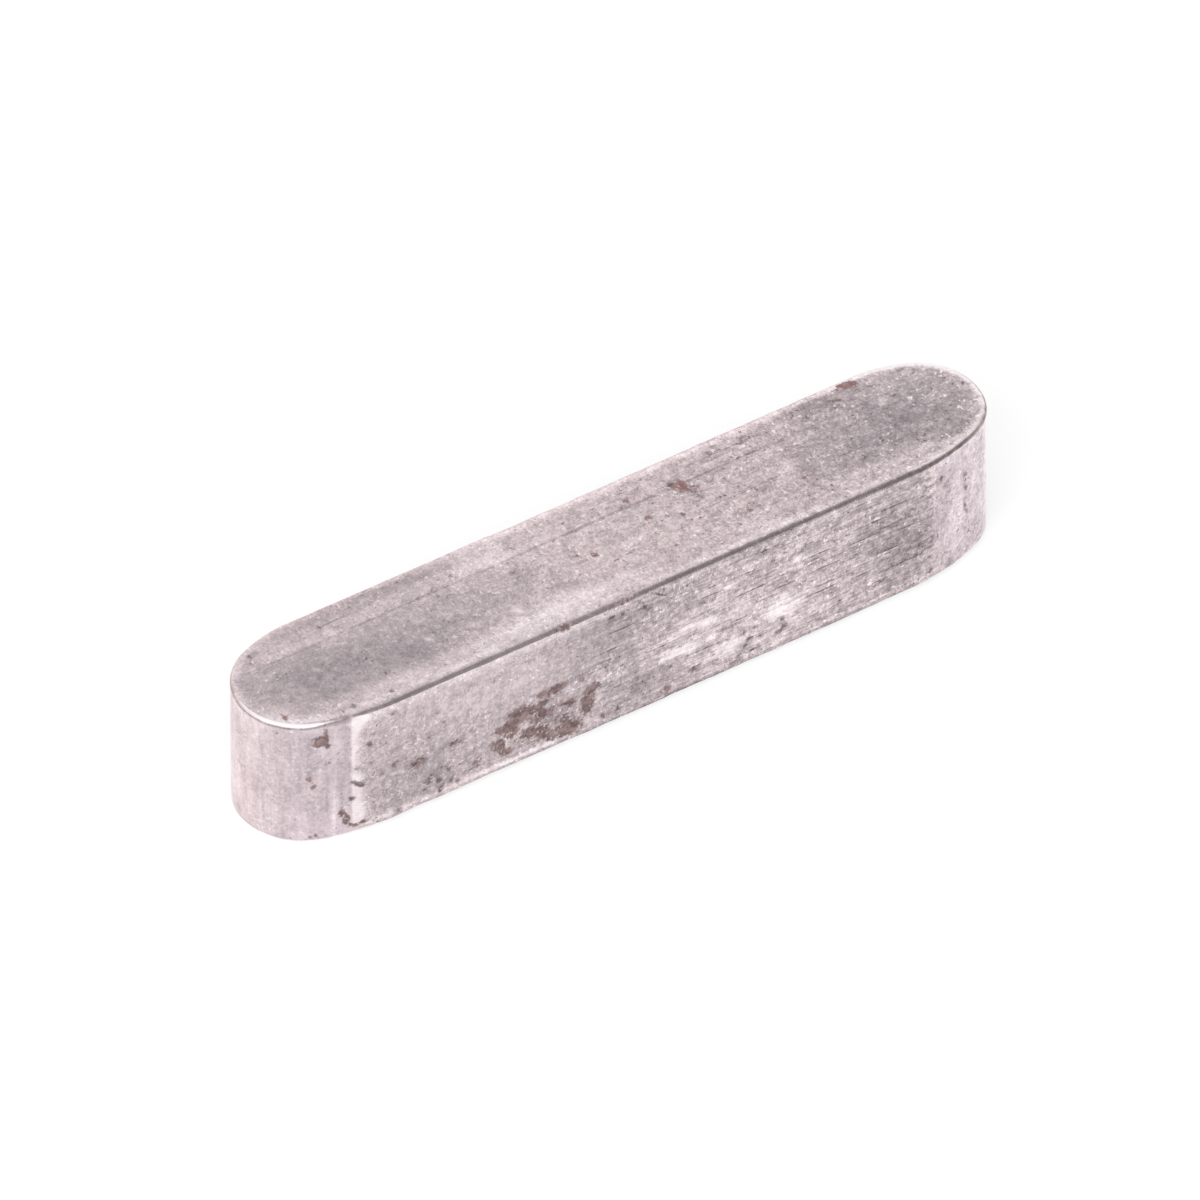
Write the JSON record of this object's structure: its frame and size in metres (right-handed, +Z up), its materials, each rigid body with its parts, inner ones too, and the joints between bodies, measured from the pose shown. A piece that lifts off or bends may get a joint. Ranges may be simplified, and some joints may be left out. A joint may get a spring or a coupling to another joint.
{
  "type": "parallel key",
  "caption": "Square-section steel parallel key with both ends round, for locking a wheel or pulley to a keyed shaft.",
  "frame": {"origin": "middle of the bottom face, on the centre lines of its length and width", "axes": "+X along the key, +Y across it, +Z up from the keyway's floor towards the hub"},
  "size_m": [0.022, 0.004, 0.004],
  "materials": {
    "key_steel": "bright drawn steel, dulled and scuffed, with small rust pits and paler worn edges"
  },
  "bodies": {
    "root": {"parallel_key": "key_steel"}
  },
  "joints": []
}
